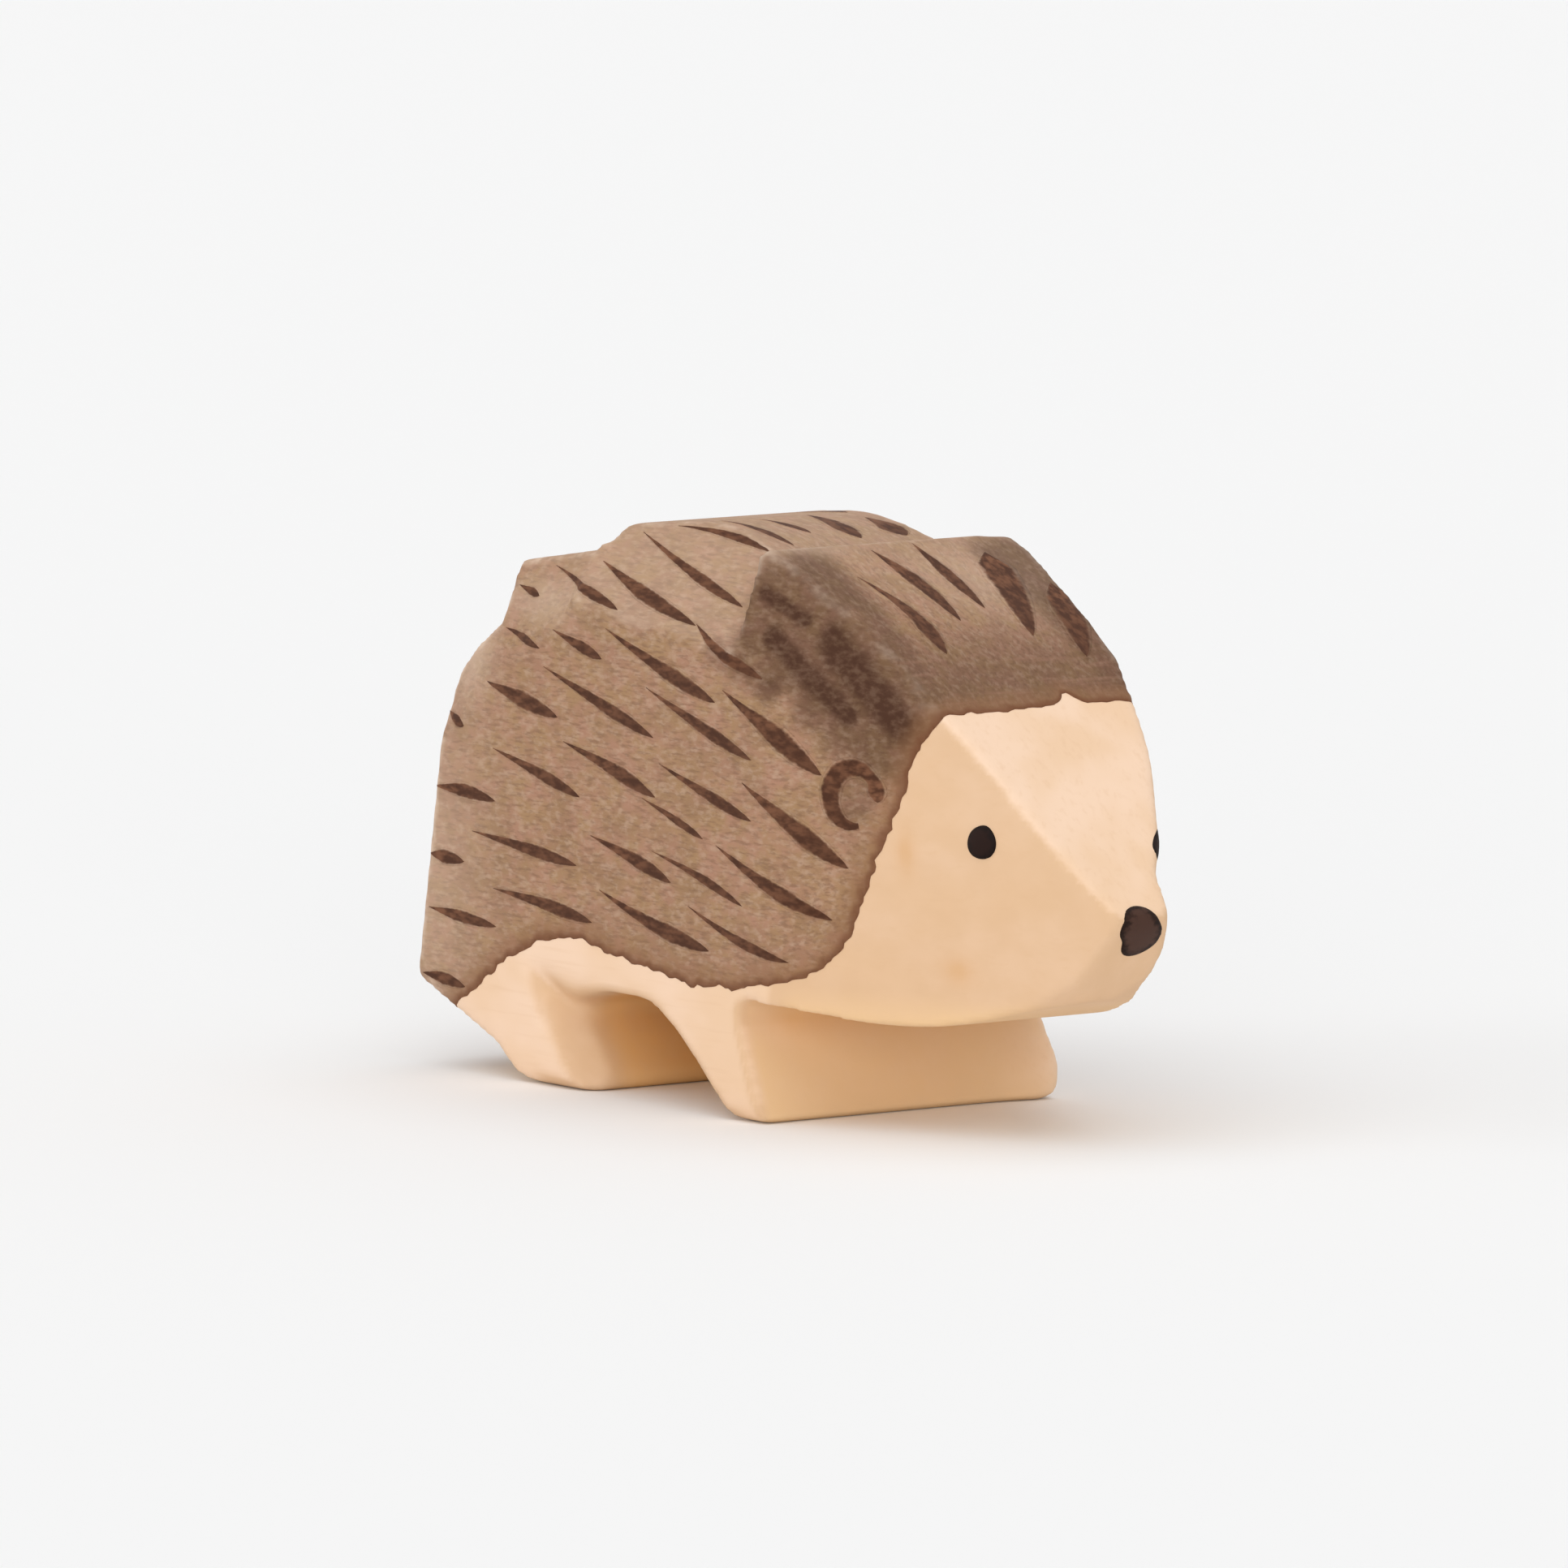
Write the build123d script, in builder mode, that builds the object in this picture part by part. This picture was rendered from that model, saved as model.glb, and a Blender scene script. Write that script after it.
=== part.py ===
from build123d import *
import math
import os

# Hedgehog figurine, sawn from one board of pale wood, carved, stained and painted by hand.
# Millimetres. +X runs to the nose, +Y to the animal's left, +Z up.
# The origin lies on the ground under the middle of the figure.

# Board, stain and paint
board_thickness = 25.0
stain_depth = 0.4
paint_film = 0.15
nose_film = 0.4

# Back, seen from the side: runs and rises from the crest between the ears, back to the rump
# and forward to the chin
crest_reach = 3.8
crest_height = 38.5
rump_lean = 3.6
rump_rise = 20.9
rump_round = 0.8
slope_run = 5.1
slope_rise = 4.0
riser_lean = 0.6
riser_round = 0.3
step_round = 0.7
hip_riser = 4.3
hip_run = 8.8
hip_climb = 1.4
back_riser = 1.7
back_run = 17.9
back_fall = 1.5
crown_run = 9.8
crown_climb = 0.9
crown_round = 40.0
crest_riser = 1.6
crest_round = 0.9
brow_run = 15.0
brow_fall = 7.3
brow_round = 60.0
bridge_run = 12.8
bridge_fall = 14.1
bridge_round = 2.0
nose_run = 1.5
nose_fall = 1.5
nose_round = 0.9
muzzle_back = 4.8
muzzle_fall = 5.9
chin_round = 2.0

# Jaw, legs and the arch between them
jaw_reach = 18.1
jaw_bottom = 6.9
jaw_round = 50.0
throat_reach = 3.7
throat_height = 8.6
throat_round = 1.2
front_toe_reach = 7.1
front_toe_round = 0.5
front_sole = 3.6
front_heel_round = 1.0
arch_front_reach = 5.8
arch_front_height = 8.0
arch_front_round = 5.0
arch_rear_reach = 17.7
arch_rear_height = 7.4
arch_rear_round = 2.0
hind_toe_reach = 12.6
hind_toe_round = 0.8
hind_sole = 8.3
hind_heel_round = 4.0
hock_reach = 24.0
hock_height = 2.4
hock_round = 1.0
sole_edge_round = 1.4

# Head, seen from above, and the lean of the cheeks below the eyes
cheek_start = 10.1
cheek_round = 25.0
cheek_lean = 7.0
cheek_lean_height = 19.0
snout_width = 4.8
snout_round = 2.0

# Facets carved along the top edges: inset from the side, drop below the top
slope_facet_inset = 1.2
slope_facet_drop = 4.0
hip_facet_rear_inset = 2.3
hip_facet_rear_drop = 8.3
hip_facet_inset = 2.5
hip_facet_drop = 3.9
back_facet_inset = 4.5
back_facet_drop = 4.9
shoulder_facet_inset = 5.2
shoulder_facet_drop = 5.6
head_facet_inset = 2.6
head_facet_drop = 8.4
head_facet_taper = 15.5
left_head_facet_inset = 1.75

# Facets under the muzzle, from a point on the jaw to the front of the snout
chin_facet_reach = 24.6
chin_facet_height = 8.5
chin_facet_rise = 3.2
chin_flat_width = 1.2

# Wide chamfer down the front edges of the hind leg, measured level with the ground. It starts
# above the arch and runs out over it, leaning in from the side
hind_chamfer_inset = 2.3
hind_chamfer_setback = 2.1
hind_chamfer_height = 8.6
chamfer_end_reach = 8.0
chamfer_end_height = 7.9
chamfer_end_lean = 38.0

# Lower edge of the stain, seen from the side
coat_rump_reach = 29.4
coat_rump_height = 3.4
coat_hip_reach = 17.9
coat_hip_height = 11.3
coat_hip_round = 8.0
coat_belly_reach = 0.9
coat_belly_height = 7.9
coat_belly_round = 25.0
coat_throat_reach = 12.8
coat_throat_height = 10.3
coat_throat_round = 5.0
coat_temple_reach = 19.5
coat_temple_height = 26.6
coat_temple_round = 4.0
coat_brow_reach = 23.6
coat_brow_height = 30.4

# Painted quills: lens-shaped dashes, fanned down towards the head
stroke_length = 11.0
stroke_width = 1.3
stroke_slope = 11.7
stroke_fan_forward = 0.22
stroke_fan_upward = 0.25
back_stroke_length = 8.0

# Rows on the sides from the belly up: first and last dash, and the number of dashes
row_height = 12.6
row_pitch = 4.45
side_rows = ((-25.6, 4.3), (-25.3, 8.8), (-25.0, 11.0), (-20.5, 8.6), (-14.5, -4.0))
side_row_counts = (4, 4, 5, 4, 2)

# Rows across the top: place along the back and pitch across, and the number of dashes
top_rows = ((-19.9, 5.6), (-5.4, 4.2), (12.1, 4.4))
top_row_counts = (3, 4, 4)

# Rows across the rump: height and pitch across, and the number of dashes
rump_rows = ((14.5, 6.4), (21.0, 6.4))
rump_row_counts = (3, 2)

# Face
eye_reach = 23.8
left_eye_reach = 26.6
eye_height = 20.2
eye_diameter = 2.2
eye_dome = 0.4
nose_dab_width = 3.6
nose_dab_height = 3.6
nose_dab_drop = 0.7
ear_reach = 15.2
ear_height = 23.3
ear_width = 4.0
ear_tall = 4.4
ear_line = 0.9
ear_gap = 1.6

# Room around the figure for cutting tools, and the overlap of a small one
clear = 12.0
overlap = 0.3

# Largest share of a leg of an outline that one rounded corner may take
round_share = 0.48

half = board_thickness / 2
snout_half = snout_width / 2


def chain(start, *moves):
    """The points reached from a start by one move after another."""
    points = [start]
    for run, rise in moves:
        points.append((points[-1][0] + run, points[-1][1] + rise))
    return points


crest, crest_foot, back_corner, back_foot, hip_corner, hip_foot, rump_top, rump = chain(
    (crest_reach, crest_height),
    (-riser_lean, -crest_riser),
    (-back_run, back_fall),
    (-riser_lean, -back_riser),
    (-hip_run, -hip_climb),
    (-riser_lean, -hip_riser),
    (-slope_run, -slope_rise),
    (-rump_lean, -rump_rise),
)
_, brow, bridge, nose_tip, chin = chain(
    crest,
    (brow_run, -brow_fall),
    (bridge_run, -bridge_fall),
    (nose_run, -nose_fall),
    (-muzzle_back, -muzzle_fall),
)
crown = (back_corner[0] + crown_run, back_corner[1] + crown_climb)
above = crown[1] + clear
behind = clear - rump[0]
ahead = nose_tip[0] + clear

side_view = (
    (rump, rump_round),
    (rump_top, rump_round),
    (hip_foot, riser_round),
    (hip_corner, step_round),
    (back_foot, riser_round),
    (back_corner, step_round),
    (crown, crown_round),
    (crest_foot, riser_round),
    (crest, crest_round),
    (brow, brow_round),
    (bridge, bridge_round),
    (nose_tip, nose_round),
    (chin, chin_round),
    ((jaw_reach, jaw_bottom), jaw_round),
    ((throat_reach, throat_height), throat_round),
    ((front_toe_reach, 0), front_toe_round),
    ((front_toe_reach - front_sole, 0), front_heel_round),
    ((-arch_front_reach, arch_front_height), arch_front_round),
    ((-arch_rear_reach, arch_rear_height), arch_rear_round),
    ((-hind_toe_reach, 0), hind_toe_round),
    ((-hind_toe_reach - hind_sole, 0), hind_heel_round),
    ((-hock_reach, hock_height), hock_round),
)
plan_view = (
    ((-behind, half), 0),
    ((cheek_start, half), cheek_round),
    ((nose_tip[0], snout_half), snout_round),
    ((nose_tip[0], -snout_half), snout_round),
    ((cheek_start, -half), cheek_round),
    ((-behind, -half), 0),
)
front_view = (
    ((-half, 0), sole_edge_round),
    ((-half, above), 0),
    ((half, above), 0),
    ((half, 0), sole_edge_round),
)


def rounded_face(plane, view, set_in):
    """A face inside clockwise rounded corners, every side set in by a depth.

    The legs of a corner limit its round, and setting in shrinks an outer round and grows an inner one.
    """
    points = [Vector(*point) for point, _ in view]
    corners = []
    radii = []
    for index, (_, radius) in enumerate(view):
        leg_in = points[index] - points[index - 1]
        leg_out = points[(index + 1) % len(points)] - points[index]
        half_turn = math.radians(leg_in.get_angle(leg_out) / 2)
        longest = round_share * min(leg_in.length, leg_out.length)
        inward = (leg_in.normalized() + leg_out.normalized()).rotate(Axis.Z, -90).normalized()
        corners.append(points[index] + inward * (set_in / math.cos(half_turn)))
        growth = math.copysign(set_in, leg_in.cross(leg_out).Z * set_in)
        radii.append(max(min(radius, longest / math.tan(half_turn)) + growth, 0))
    with BuildSketch(plane) as face:
        with BuildLine():
            FilletPolyline(*corners, radius=radii, close=True)
        make_face()
    return face.sketch


def side_section(plane, side, corners):
    """A face between corners given for the left side, drawn on one side of the figure."""
    with BuildSketch(plane) as section:
        with BuildLine():
            Polyline(*[(side * corner.X, corner.Y) for corner in corners], close=True)
        make_face()
    return section.sketch


def facet_cut(side, set_in, ends):
    """Cut a facet along a top edge between two ends, each an x, a top, an inset and a drop."""
    sections = []
    for x, top, inset, drop in ends:
        along = Vector(-inset, drop).normalized()
        outward = Vector(drop, inset).normalized()
        lower = Vector(half, top - drop) - outward * set_in - along * clear
        upper = Vector(half - inset, top) - outward * set_in + along * clear
        corners = (lower, upper, upper + outward * clear, lower + outward * clear)
        sections.append(side_section(Plane.YZ.offset(x), side, corners))
    loft(sections, ruled=True, mode=Mode.SUBTRACT)


def cheek_half_width(x):
    """Half the width of the head between the cheeks, seen from above."""
    along = (x - cheek_start) / (nose_tip[0] - cheek_start)
    return half - along * (half - snout_half)


def cheek_plane(side, x, z):
    """A plane on one cheek, seen from outside: its X runs to the snout and its Z outward."""
    along = Vector(nose_tip[0] - cheek_start, side * (snout_half - half), 0)
    outward = Vector(half - snout_half, side * (nose_tip[0] - cheek_start), 0)
    return Plane((x, side * cheek_half_width(x), z), x_dir=along, z_dir=outward)


def cheek_cut(side, set_in):
    """Lean one cheek in towards the jaw, below the height of the eye."""
    upright = cheek_plane(side, cheek_start, cheek_lean_height)
    leaning = upright.rotated((-side * cheek_lean, 0, 0)).offset(-set_in)
    height = cheek_lean_height - jaw_bottom + overlap
    with BuildSketch(leaning) as section:
        with Locations((0, side * height / 2)):
            Rectangle(ahead * 2, height)
    extrude(section.sketch, amount=clear, mode=Mode.SUBTRACT)


def chin_cut(side):
    """Cut the facet that runs under one side of the muzzle."""
    start = Vector(chin_facet_reach, side * cheek_half_width(chin_facet_reach), chin_facet_height)
    front = Vector(bridge[0], side * cheek_half_width(bridge[0]), chin[1] + chin_facet_rise)
    under = Vector(chin[0], side * chin_flat_width / 2, chin[1])
    normal = (front - start).cross(under - start) * side
    with BuildSketch(Plane(start, z_dir=normal)) as section:
        Rectangle(board_thickness, board_thickness)
    extrude(section.sketch, amount=clear, mode=Mode.SUBTRACT)


def hind_chamfer_cut(side):
    """Cut the wide chamfer down the front edge of the hind leg, running out over the arch."""
    leg_slant = (arch_rear_reach - hind_toe_reach) / arch_rear_height
    setback = hind_chamfer_setback + leg_slant * (hind_chamfer_height - arch_rear_height)
    top = Vector(-arch_rear_reach - setback, side * half, hind_chamfer_height)
    end = Vector(-chamfer_end_reach, side * half, chamfer_end_height)
    lean = math.radians(chamfer_end_lean)
    inward = Vector(hind_chamfer_setback, -side * hind_chamfer_inset, 0)
    down = Vector(leg_slant, 0, -1)
    under = Vector(0, -side * math.sin(lean), -math.cos(lean))
    with BuildPart(mode=Mode.PRIVATE) as waste:
        with Locations((top + end) / 2 - Vector(0, 0, hind_chamfer_height / 2)):
            Box(end.X - top.X, board_thickness, hind_chamfer_height + clear)
        split(bisect_by=Plane(top, z_dir=inward.cross(down) * side), keep=Keep.TOP)
        split(bisect_by=Plane(top, z_dir=(end - top).cross(under) * side), keep=Keep.TOP)
    add(waste.part, mode=Mode.SUBTRACT)


def carve(set_in):
    """The figure with every surface set in by a depth, or built out where the depth is negative."""
    lean = riser_lean / 2 + set_in
    slope_start = rump_top[1] - (rump_top[0] + behind) * slope_rise / slope_run
    head_start = crest_foot[0] + lean
    taper = (ahead - head_start) * math.tan(math.radians(head_facet_taper))
    steepness = head_facet_drop / head_facet_inset
    facets = (
        (
            (-behind, slope_start, slope_facet_inset, slope_facet_drop),
            (hip_foot[0] + lean, hip_foot[1], slope_facet_inset, slope_facet_drop),
        ),
        (
            (hip_foot[0] + lean, hip_corner[1], hip_facet_rear_inset, hip_facet_rear_drop),
            (back_foot[0] + lean, back_foot[1], hip_facet_inset, hip_facet_drop),
        ),
        (
            (back_foot[0] + lean, back_corner[1], back_facet_inset, back_facet_drop),
            (head_start, crest_foot[1], shoulder_facet_inset, shoulder_facet_drop),
        ),
    )
    with BuildPart() as carving:
        extrude(rounded_face(Plane.XZ, side_view, set_in), amount=half - set_in, both=True)
        extrude(rounded_face(Plane.XY, plan_view, set_in), amount=above, both=True, mode=Mode.INTERSECT)
        extrude(rounded_face(Plane.YZ, front_view, set_in), amount=behind, both=True, mode=Mode.INTERSECT)
        for side, inset in ((-1, head_facet_inset), (1, left_head_facet_inset)):
            head_facet = (
                (head_start, crest[1], inset, inset * steepness),
                (ahead, crest[1], inset + taper, (inset + taper) * steepness),
            )
            for ends in (*facets, head_facet):
                facet_cut(side, set_in, ends)
            cheek_cut(side, set_in)
            chin_cut(side)
            hind_chamfer_cut(side)
    return carving.part


def dash(length):
    """A brush dash: two shallow arcs that meet in points."""
    with BuildSketch() as stroke:
        with BuildLine():
            ThreePointArc((-length / 2, 0), (0, stroke_width / 2), (length / 2, 0))
            ThreePointArc((length / 2, 0), (0, -stroke_width / 2), (-length / 2, 0))
        make_face()
    return stroke.sketch


def side_dashes():
    """Rows of dashes in the side view, each turned down towards the head."""
    for row, ((first, last), count) in enumerate(zip(side_rows, side_row_counts)):
        z = row_height + row * row_pitch
        for index in range(count):
            x = first + (last - first) * index / (count - 1)
            turn = stroke_slope + stroke_fan_forward * x + stroke_fan_upward * (z - row_height)
            with Locations(Location((x, z, 0), (0, 0, -turn))):
                add(dash(stroke_length))


def painted(section, amount):
    """A section extruded through the figure and kept only as the film of paint on its surface."""
    with BuildPart() as paint:
        extrude(section, amount=amount)
        add(film, mode=Mode.INTERSECT)
        add(figure, mode=Mode.SUBTRACT)
    return paint.part


def side_strokes(side):
    """All the dashes on one side."""
    with BuildSketch(Plane.XZ.offset(-side * (half - shoulder_facet_inset))) as dashes:
        side_dashes()
    return painted(dashes.sketch, -side * board_thickness)


def eye_cap(side, reach):
    """One eye: the cap of a ball that is sunk behind the cheek."""
    ball = (eye_diameter**2 / 4 + eye_dome**2) / (2 * eye_dome)
    cheek = cheek_plane(side, reach, eye_height)
    with BuildPart(cheek) as cap:
        with Locations((0, 0, eye_dome - ball)):
            Sphere(ball)
        split(bisect_by=cheek, keep=Keep.TOP)
    return cap.part


def ear_ring(side):
    """The open ring of one ear."""
    with BuildSketch(Plane.XZ) as ring:
        with Locations((ear_reach, ear_height)):
            Ellipse(ear_width / 2, ear_tall / 2)
            Ellipse(ear_width / 2 - ear_line, ear_tall / 2 - ear_line, mode=Mode.SUBTRACT)
            Rectangle(ear_width, ear_gap, align=(Align.MIN, Align.MAX), mode=Mode.SUBTRACT)
    return painted(ring.sketch, -side * board_thickness)


figure = carve(0)
stained_core = carve(stain_depth)
film = carve(-paint_film)
nose_skin = carve(-nose_film)

# Stained layer on the back, as deep as the stain soaks in
with BuildPart() as quill_coat:
    add(figure)
    add(stained_core, mode=Mode.SUBTRACT)
    with BuildSketch(Plane.XZ):
        with BuildLine():
            coat_edge = FilletPolyline(
                (-coat_rump_reach, coat_rump_height),
                (-coat_hip_reach, coat_hip_height),
                (-coat_belly_reach, coat_belly_height),
                (coat_throat_reach, coat_throat_height),
                (coat_temple_reach, coat_temple_height),
                (coat_brow_reach, coat_brow_height),
                radius=(coat_hip_round, coat_belly_round, coat_throat_round, coat_temple_round),
            )
            Polyline(
                coat_edge @ 1,
                (coat_brow_reach, above),
                (-behind, above),
                (-behind, coat_rump_height),
                coat_edge @ 0,
            )
        make_face()
    extrude(amount=board_thickness, both=True, mode=Mode.INTERSECT)
quill_coat.part.label = "quill_coat"

# Bare wood under and around the stain
with BuildPart() as carved_body:
    add(figure)
    add(quill_coat.part, mode=Mode.SUBTRACT)
carved_body.part.label = "carved_body"

# Dashes on the two sides
with BuildPart() as quill_strokes_right:
    add(side_strokes(-1))
quill_strokes_right.part.label = "quill_strokes_right"

with BuildPart() as quill_strokes_left:
    add(side_strokes(1))
quill_strokes_left.part.label = "quill_strokes_left"

# Dashes along the top of the back and the head, and down the rump
with BuildPart() as quill_strokes_back:
    with BuildSketch(Plane.XY.offset(rump_top[1])):
        for (x, pitch), count in zip(top_rows, top_row_counts):
            with Locations((x, 0)):
                with GridLocations(0, pitch, 1, count):
                    add(dash(back_stroke_length))
    extrude(amount=above - rump_top[1])
    with BuildSketch(Plane.YZ.offset(-behind)):
        for (z, pitch), count in zip(rump_rows, rump_row_counts):
            with Locations((0, z)):
                with GridLocations(pitch, 0, count, 1):
                    add(dash(back_stroke_length), rotation=90)
    extrude(amount=behind + hip_foot[0])
    add(film, mode=Mode.INTERSECT)
    add(figure, mode=Mode.SUBTRACT)
quill_strokes_back.part.label = "quill_strokes_back"

# Eyes: domed dots on the cheeks, the left one set further forward
with BuildPart() as right_eye:
    add(eye_cap(-1, eye_reach))
right_eye.part.label = "right_eye"

with BuildPart() as left_eye:
    add(eye_cap(1, left_eye_reach))
left_eye.part.label = "left_eye"

# Nose: a dab that wraps the tip of the snout
with BuildPart() as nose:
    with BuildSketch(Plane.YZ.offset(chin[0])):
        with Locations((0, nose_tip[1] - nose_dab_drop)):
            Ellipse(nose_dab_width / 2, nose_dab_height / 2)
    extrude(amount=clear)
    add(nose_skin, mode=Mode.INTERSECT)
    add(figure, mode=Mode.SUBTRACT)
nose.part.label = "nose"

# Ear marks: open rings drawn with the brush
with BuildPart() as right_ear_mark:
    add(ear_ring(-1))
right_ear_mark.part.label = "right_ear_mark"

with BuildPart() as left_ear_mark:
    add(ear_ring(1))
left_ear_mark.part.label = "left_ear_mark"

os.makedirs("parts", exist_ok=True)
export_step(carved_body.part, "parts/carved_body.step")
export_step(quill_coat.part, "parts/quill_coat.step")
export_step(quill_strokes_right.part, "parts/quill_strokes_right.step")
export_step(quill_strokes_left.part, "parts/quill_strokes_left.step")
export_step(quill_strokes_back.part, "parts/quill_strokes_back.step")
export_step(right_eye.part, "parts/right_eye.step")
export_step(left_eye.part, "parts/left_eye.step")
export_step(nose.part, "parts/nose.step")
export_step(right_ear_mark.part, "parts/right_ear_mark.step")
export_step(left_ear_mark.part, "parts/left_ear_mark.step")
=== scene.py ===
"""Carved and painted wooden hedgehog, dressed around its CAD frame."""
import logging
import math
import random
from dataclasses import dataclass, replace
from enum import Enum
from typing import Any

import bmesh
import bpy
import numpy as np
from bpy.types import Material, Mesh, Node, NodeSocket, NodeTree, Object
from mathutils import Matrix, Vector, noise
from mathutils.kdtree import KDTree


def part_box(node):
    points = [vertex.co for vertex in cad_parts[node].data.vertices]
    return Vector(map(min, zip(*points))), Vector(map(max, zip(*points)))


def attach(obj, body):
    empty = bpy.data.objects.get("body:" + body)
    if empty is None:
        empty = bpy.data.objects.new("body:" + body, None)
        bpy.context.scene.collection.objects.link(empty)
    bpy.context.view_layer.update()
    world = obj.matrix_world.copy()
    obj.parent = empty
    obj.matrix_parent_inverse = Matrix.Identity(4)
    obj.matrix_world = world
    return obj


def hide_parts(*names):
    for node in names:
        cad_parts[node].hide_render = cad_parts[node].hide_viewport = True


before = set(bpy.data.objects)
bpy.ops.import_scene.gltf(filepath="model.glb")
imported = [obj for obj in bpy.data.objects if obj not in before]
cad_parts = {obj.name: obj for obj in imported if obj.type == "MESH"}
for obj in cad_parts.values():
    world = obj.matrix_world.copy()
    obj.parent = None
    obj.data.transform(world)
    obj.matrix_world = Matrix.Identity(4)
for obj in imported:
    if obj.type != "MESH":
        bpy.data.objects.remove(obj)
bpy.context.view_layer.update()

log = logging.getLogger("hedgehog")
METRES_PER_MM = 0.001
AXES = "xyz"
Pair = tuple[float, float]
Triple = tuple[float, float, float]
Array = np.ndarray

# Millimetres within which vertices merge, and the least square that a length is divided by
MERGE_GAP = 0.001
TINY = 1e-12

# Columns of a place that the side view shows, and how far each seed moves a wobble
SIDE_VIEW = (0, 2)
SEED_SHIFT = (17.3, 5.1, 9.7)

# Places of the Mix node's sockets when it mixes colours
MIX_SHARE, MIX_UNDER, MIX_OVER, MIX_RESULT = 0, 6, 7, 2


class Slot(Enum):
    """Material slots of the record."""

    BARE_WOOD = "bare_wood"
    STAINED_WOOD = "stained_wood"
    QUILL_PAINT = "quill_paint"
    DARK_PAINT = "dark_paint"


class Aim(Enum):
    """The way the brush comes at the wood: the axis it travels along and its sign."""

    FROM_RIGHT = ("y", 1)
    FROM_LEFT = ("y", -1)
    FROM_ABOVE = ("z", -1)
    FROM_BEHIND = ("x", 1)


def linear(code: str) -> tuple[float, ...]:
    """Turns an sRGB hex colour into linear RGBA.

    Args:
        code: colour such as "#f0cfae".

    Returns:
        Linear red, green, blue and an alpha of 1.
    """
    parts = [int(code[i:i + 2], 16) / 255 for i in (1, 3, 5)]
    # The sRGB curve: straight near black, a power above
    red, green, blue = [p / 12.92 if p <= 0.04045 else ((p + 0.055) / 1.055) ** 2.4 for p in parts]
    return red, green, blue, 1.0


def add_node(tree: NodeTree, kind: str, inputs: dict | None = None, **settings: Any) -> Node:
    """Adds a node with its settings, then sets or links its inputs.

    Args:
        tree: where the node goes.
        kind: Blender's name of the node type, after ShaderNode.
        inputs: socket name or number to a value, or to the socket it is linked from.
        settings: properties of the node itself.

    Returns:
        The new node.
    """
    node = tree.nodes.new("ShaderNode" + kind)
    for name, value in settings.items():
        setattr(node, name, value)
    for key, value in (inputs or {}).items():
        if isinstance(value, NodeSocket):
            tree.links.new(value, node.inputs[key])
        else:
            node.inputs[key].default_value = value
    return node


def select_only(*objects: Object) -> None:
    """Selects these objects alone and makes the first one active.

    Args:
        objects: what is selected.
    """
    bpy.ops.object.select_all(action="DESELECT")
    for obj in objects:
        obj.select_set(True)
    bpy.context.view_layer.objects.active = objects[0]


def edit_all(obj: Object, operator: Any, **settings: Any) -> None:
    """Runs one edit-mode operator on the whole mesh of an object.

    Args:
        obj: object that is edited.
        operator: a bpy.ops.mesh operator.
        settings: its options.
    """
    select_only(obj)
    bpy.ops.object.mode_set(mode="EDIT")
    bpy.ops.mesh.select_all(action="SELECT")
    operator(**settings)
    bpy.ops.object.mode_set(mode="OBJECT")


def apply_modifier(obj: Object, kind: str, **settings: Any) -> None:
    """Adds one modifier with its settings and applies it.

    Args:
        obj: object that gets the modifier.
        kind: Blender's name of the modifier type.
        settings: properties of the modifier.
    """
    select_only(obj)
    modifier = obj.modifiers.new(kind.lower(), kind)
    for name, value in settings.items():
        setattr(modifier, name, value)
    bpy.ops.object.modifier_apply(modifier=modifier.name)


def join(pieces: list[Object], name: str) -> Object:
    """Joins objects into one.

    Args:
        pieces: objects that are joined.
        name: name of the result.

    Returns:
        The joined object.
    """
    select_only(*pieces)
    if len(pieces) > 1:
        bpy.ops.object.join()
    pieces[0].name = name
    return pieces[0]


def duplicate(mesh: Mesh, name: str) -> Object:
    """Puts a copy of a mesh into a new object.

    Args:
        mesh: what is copied.
        name: name of the object.

    Returns:
        The new object.
    """
    copy = bpy.data.objects.new(name, mesh.copy())
    copy.data.materials.clear()
    bpy.context.scene.collection.objects.link(copy)
    return copy


def points_of(obj: Object) -> Array:
    """Vertex places of an object in millimetres, one row each."""
    return np.array([vertex.co for vertex in obj.data.vertices], dtype=float) / METRES_PER_MM


def add_shape(operator: Any, **settings: Any) -> tuple[Object, Array]:
    """Adds one of Blender's plain shapes.

    Args:
        operator: a bpy.ops.mesh operator.
        settings: its options.

    Returns:
        The object, and its vertex places in the units of the options.
    """
    bpy.ops.object.select_all(action="DESELECT")
    operator(**settings)
    shape = bpy.context.active_object
    return shape, points_of(shape) * METRES_PER_MM


def normals_of(obj: Object) -> Array:
    """Vertex normals of an object, one row each."""
    return np.array([vertex.normal for vertex in obj.data.vertices])


def move_points(obj: Object, places: Array) -> None:
    """Sets the vertex places of an object from millimetres."""
    obj.data.vertices.foreach_set("co", (places * METRES_PER_MM).ravel())
    obj.data.update()


def keep_numbers(obj: Object, **numbers: Array) -> None:
    """Keeps numbers per vertex under the names that a finish reads.

    Args:
        obj: object that keeps them.
        numbers: an array for each name.
    """
    for name, values in numbers.items():
        layer = obj.data.attributes.new(name, "FLOAT", "POINT")
        layer.data.foreach_set("value", values.astype(np.float32))


def smooth_step(low: float, high: float, values: Array) -> Array:
    """Soft ramp from 0 at low to 1 at high."""
    share = np.clip((values - low) / (high - low), 0, 1)
    return share * share * (3 - 2 * share)


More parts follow.
